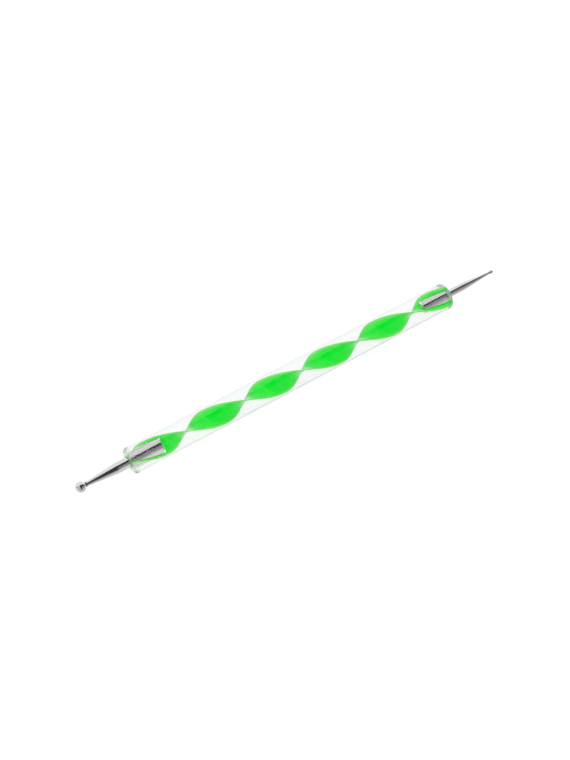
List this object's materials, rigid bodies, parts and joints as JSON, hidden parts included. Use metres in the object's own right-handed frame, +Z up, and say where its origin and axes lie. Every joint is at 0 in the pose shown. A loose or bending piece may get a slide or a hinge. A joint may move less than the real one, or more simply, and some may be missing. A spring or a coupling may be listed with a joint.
{
  "type": "embossing stylus",
  "caption": "Double-ended ball stylus with a clear acrylic rod handle, a twisted green ribbon inside it, and a tapered steel shank and ball at each end.",
  "frame": {"origin": "on the stylus's axis, at the middle of its whole length", "axes": "+X along the axis from the large ball to the small ball, +Z up as the stylus lies flat, +Y completes a right-handed frame"},
  "size_m": [0.1344, 0.0074, 0.0074],
  "materials": {
    "clear_acrylic": "clear, polished",
    "green_ribbon": "bright green, opaque",
    "clear_adhesive": "clear, cured",
    "polished_steel": "polished, with fine turning lines",
    "braze": "dull grey, slightly darkened"
  },
  "bodies": {
    "root": {"handle": "clear_acrylic", "ribbon": "green_ribbon", "large_glue": "clear_adhesive", "large_shank": "polished_steel", "large_braze": "braze", "large_ball": "polished_steel", "small_glue": "clear_adhesive", "small_shank": "polished_steel", "small_braze": "braze", "small_ball": "polished_steel"}
  },
  "joints": []
}
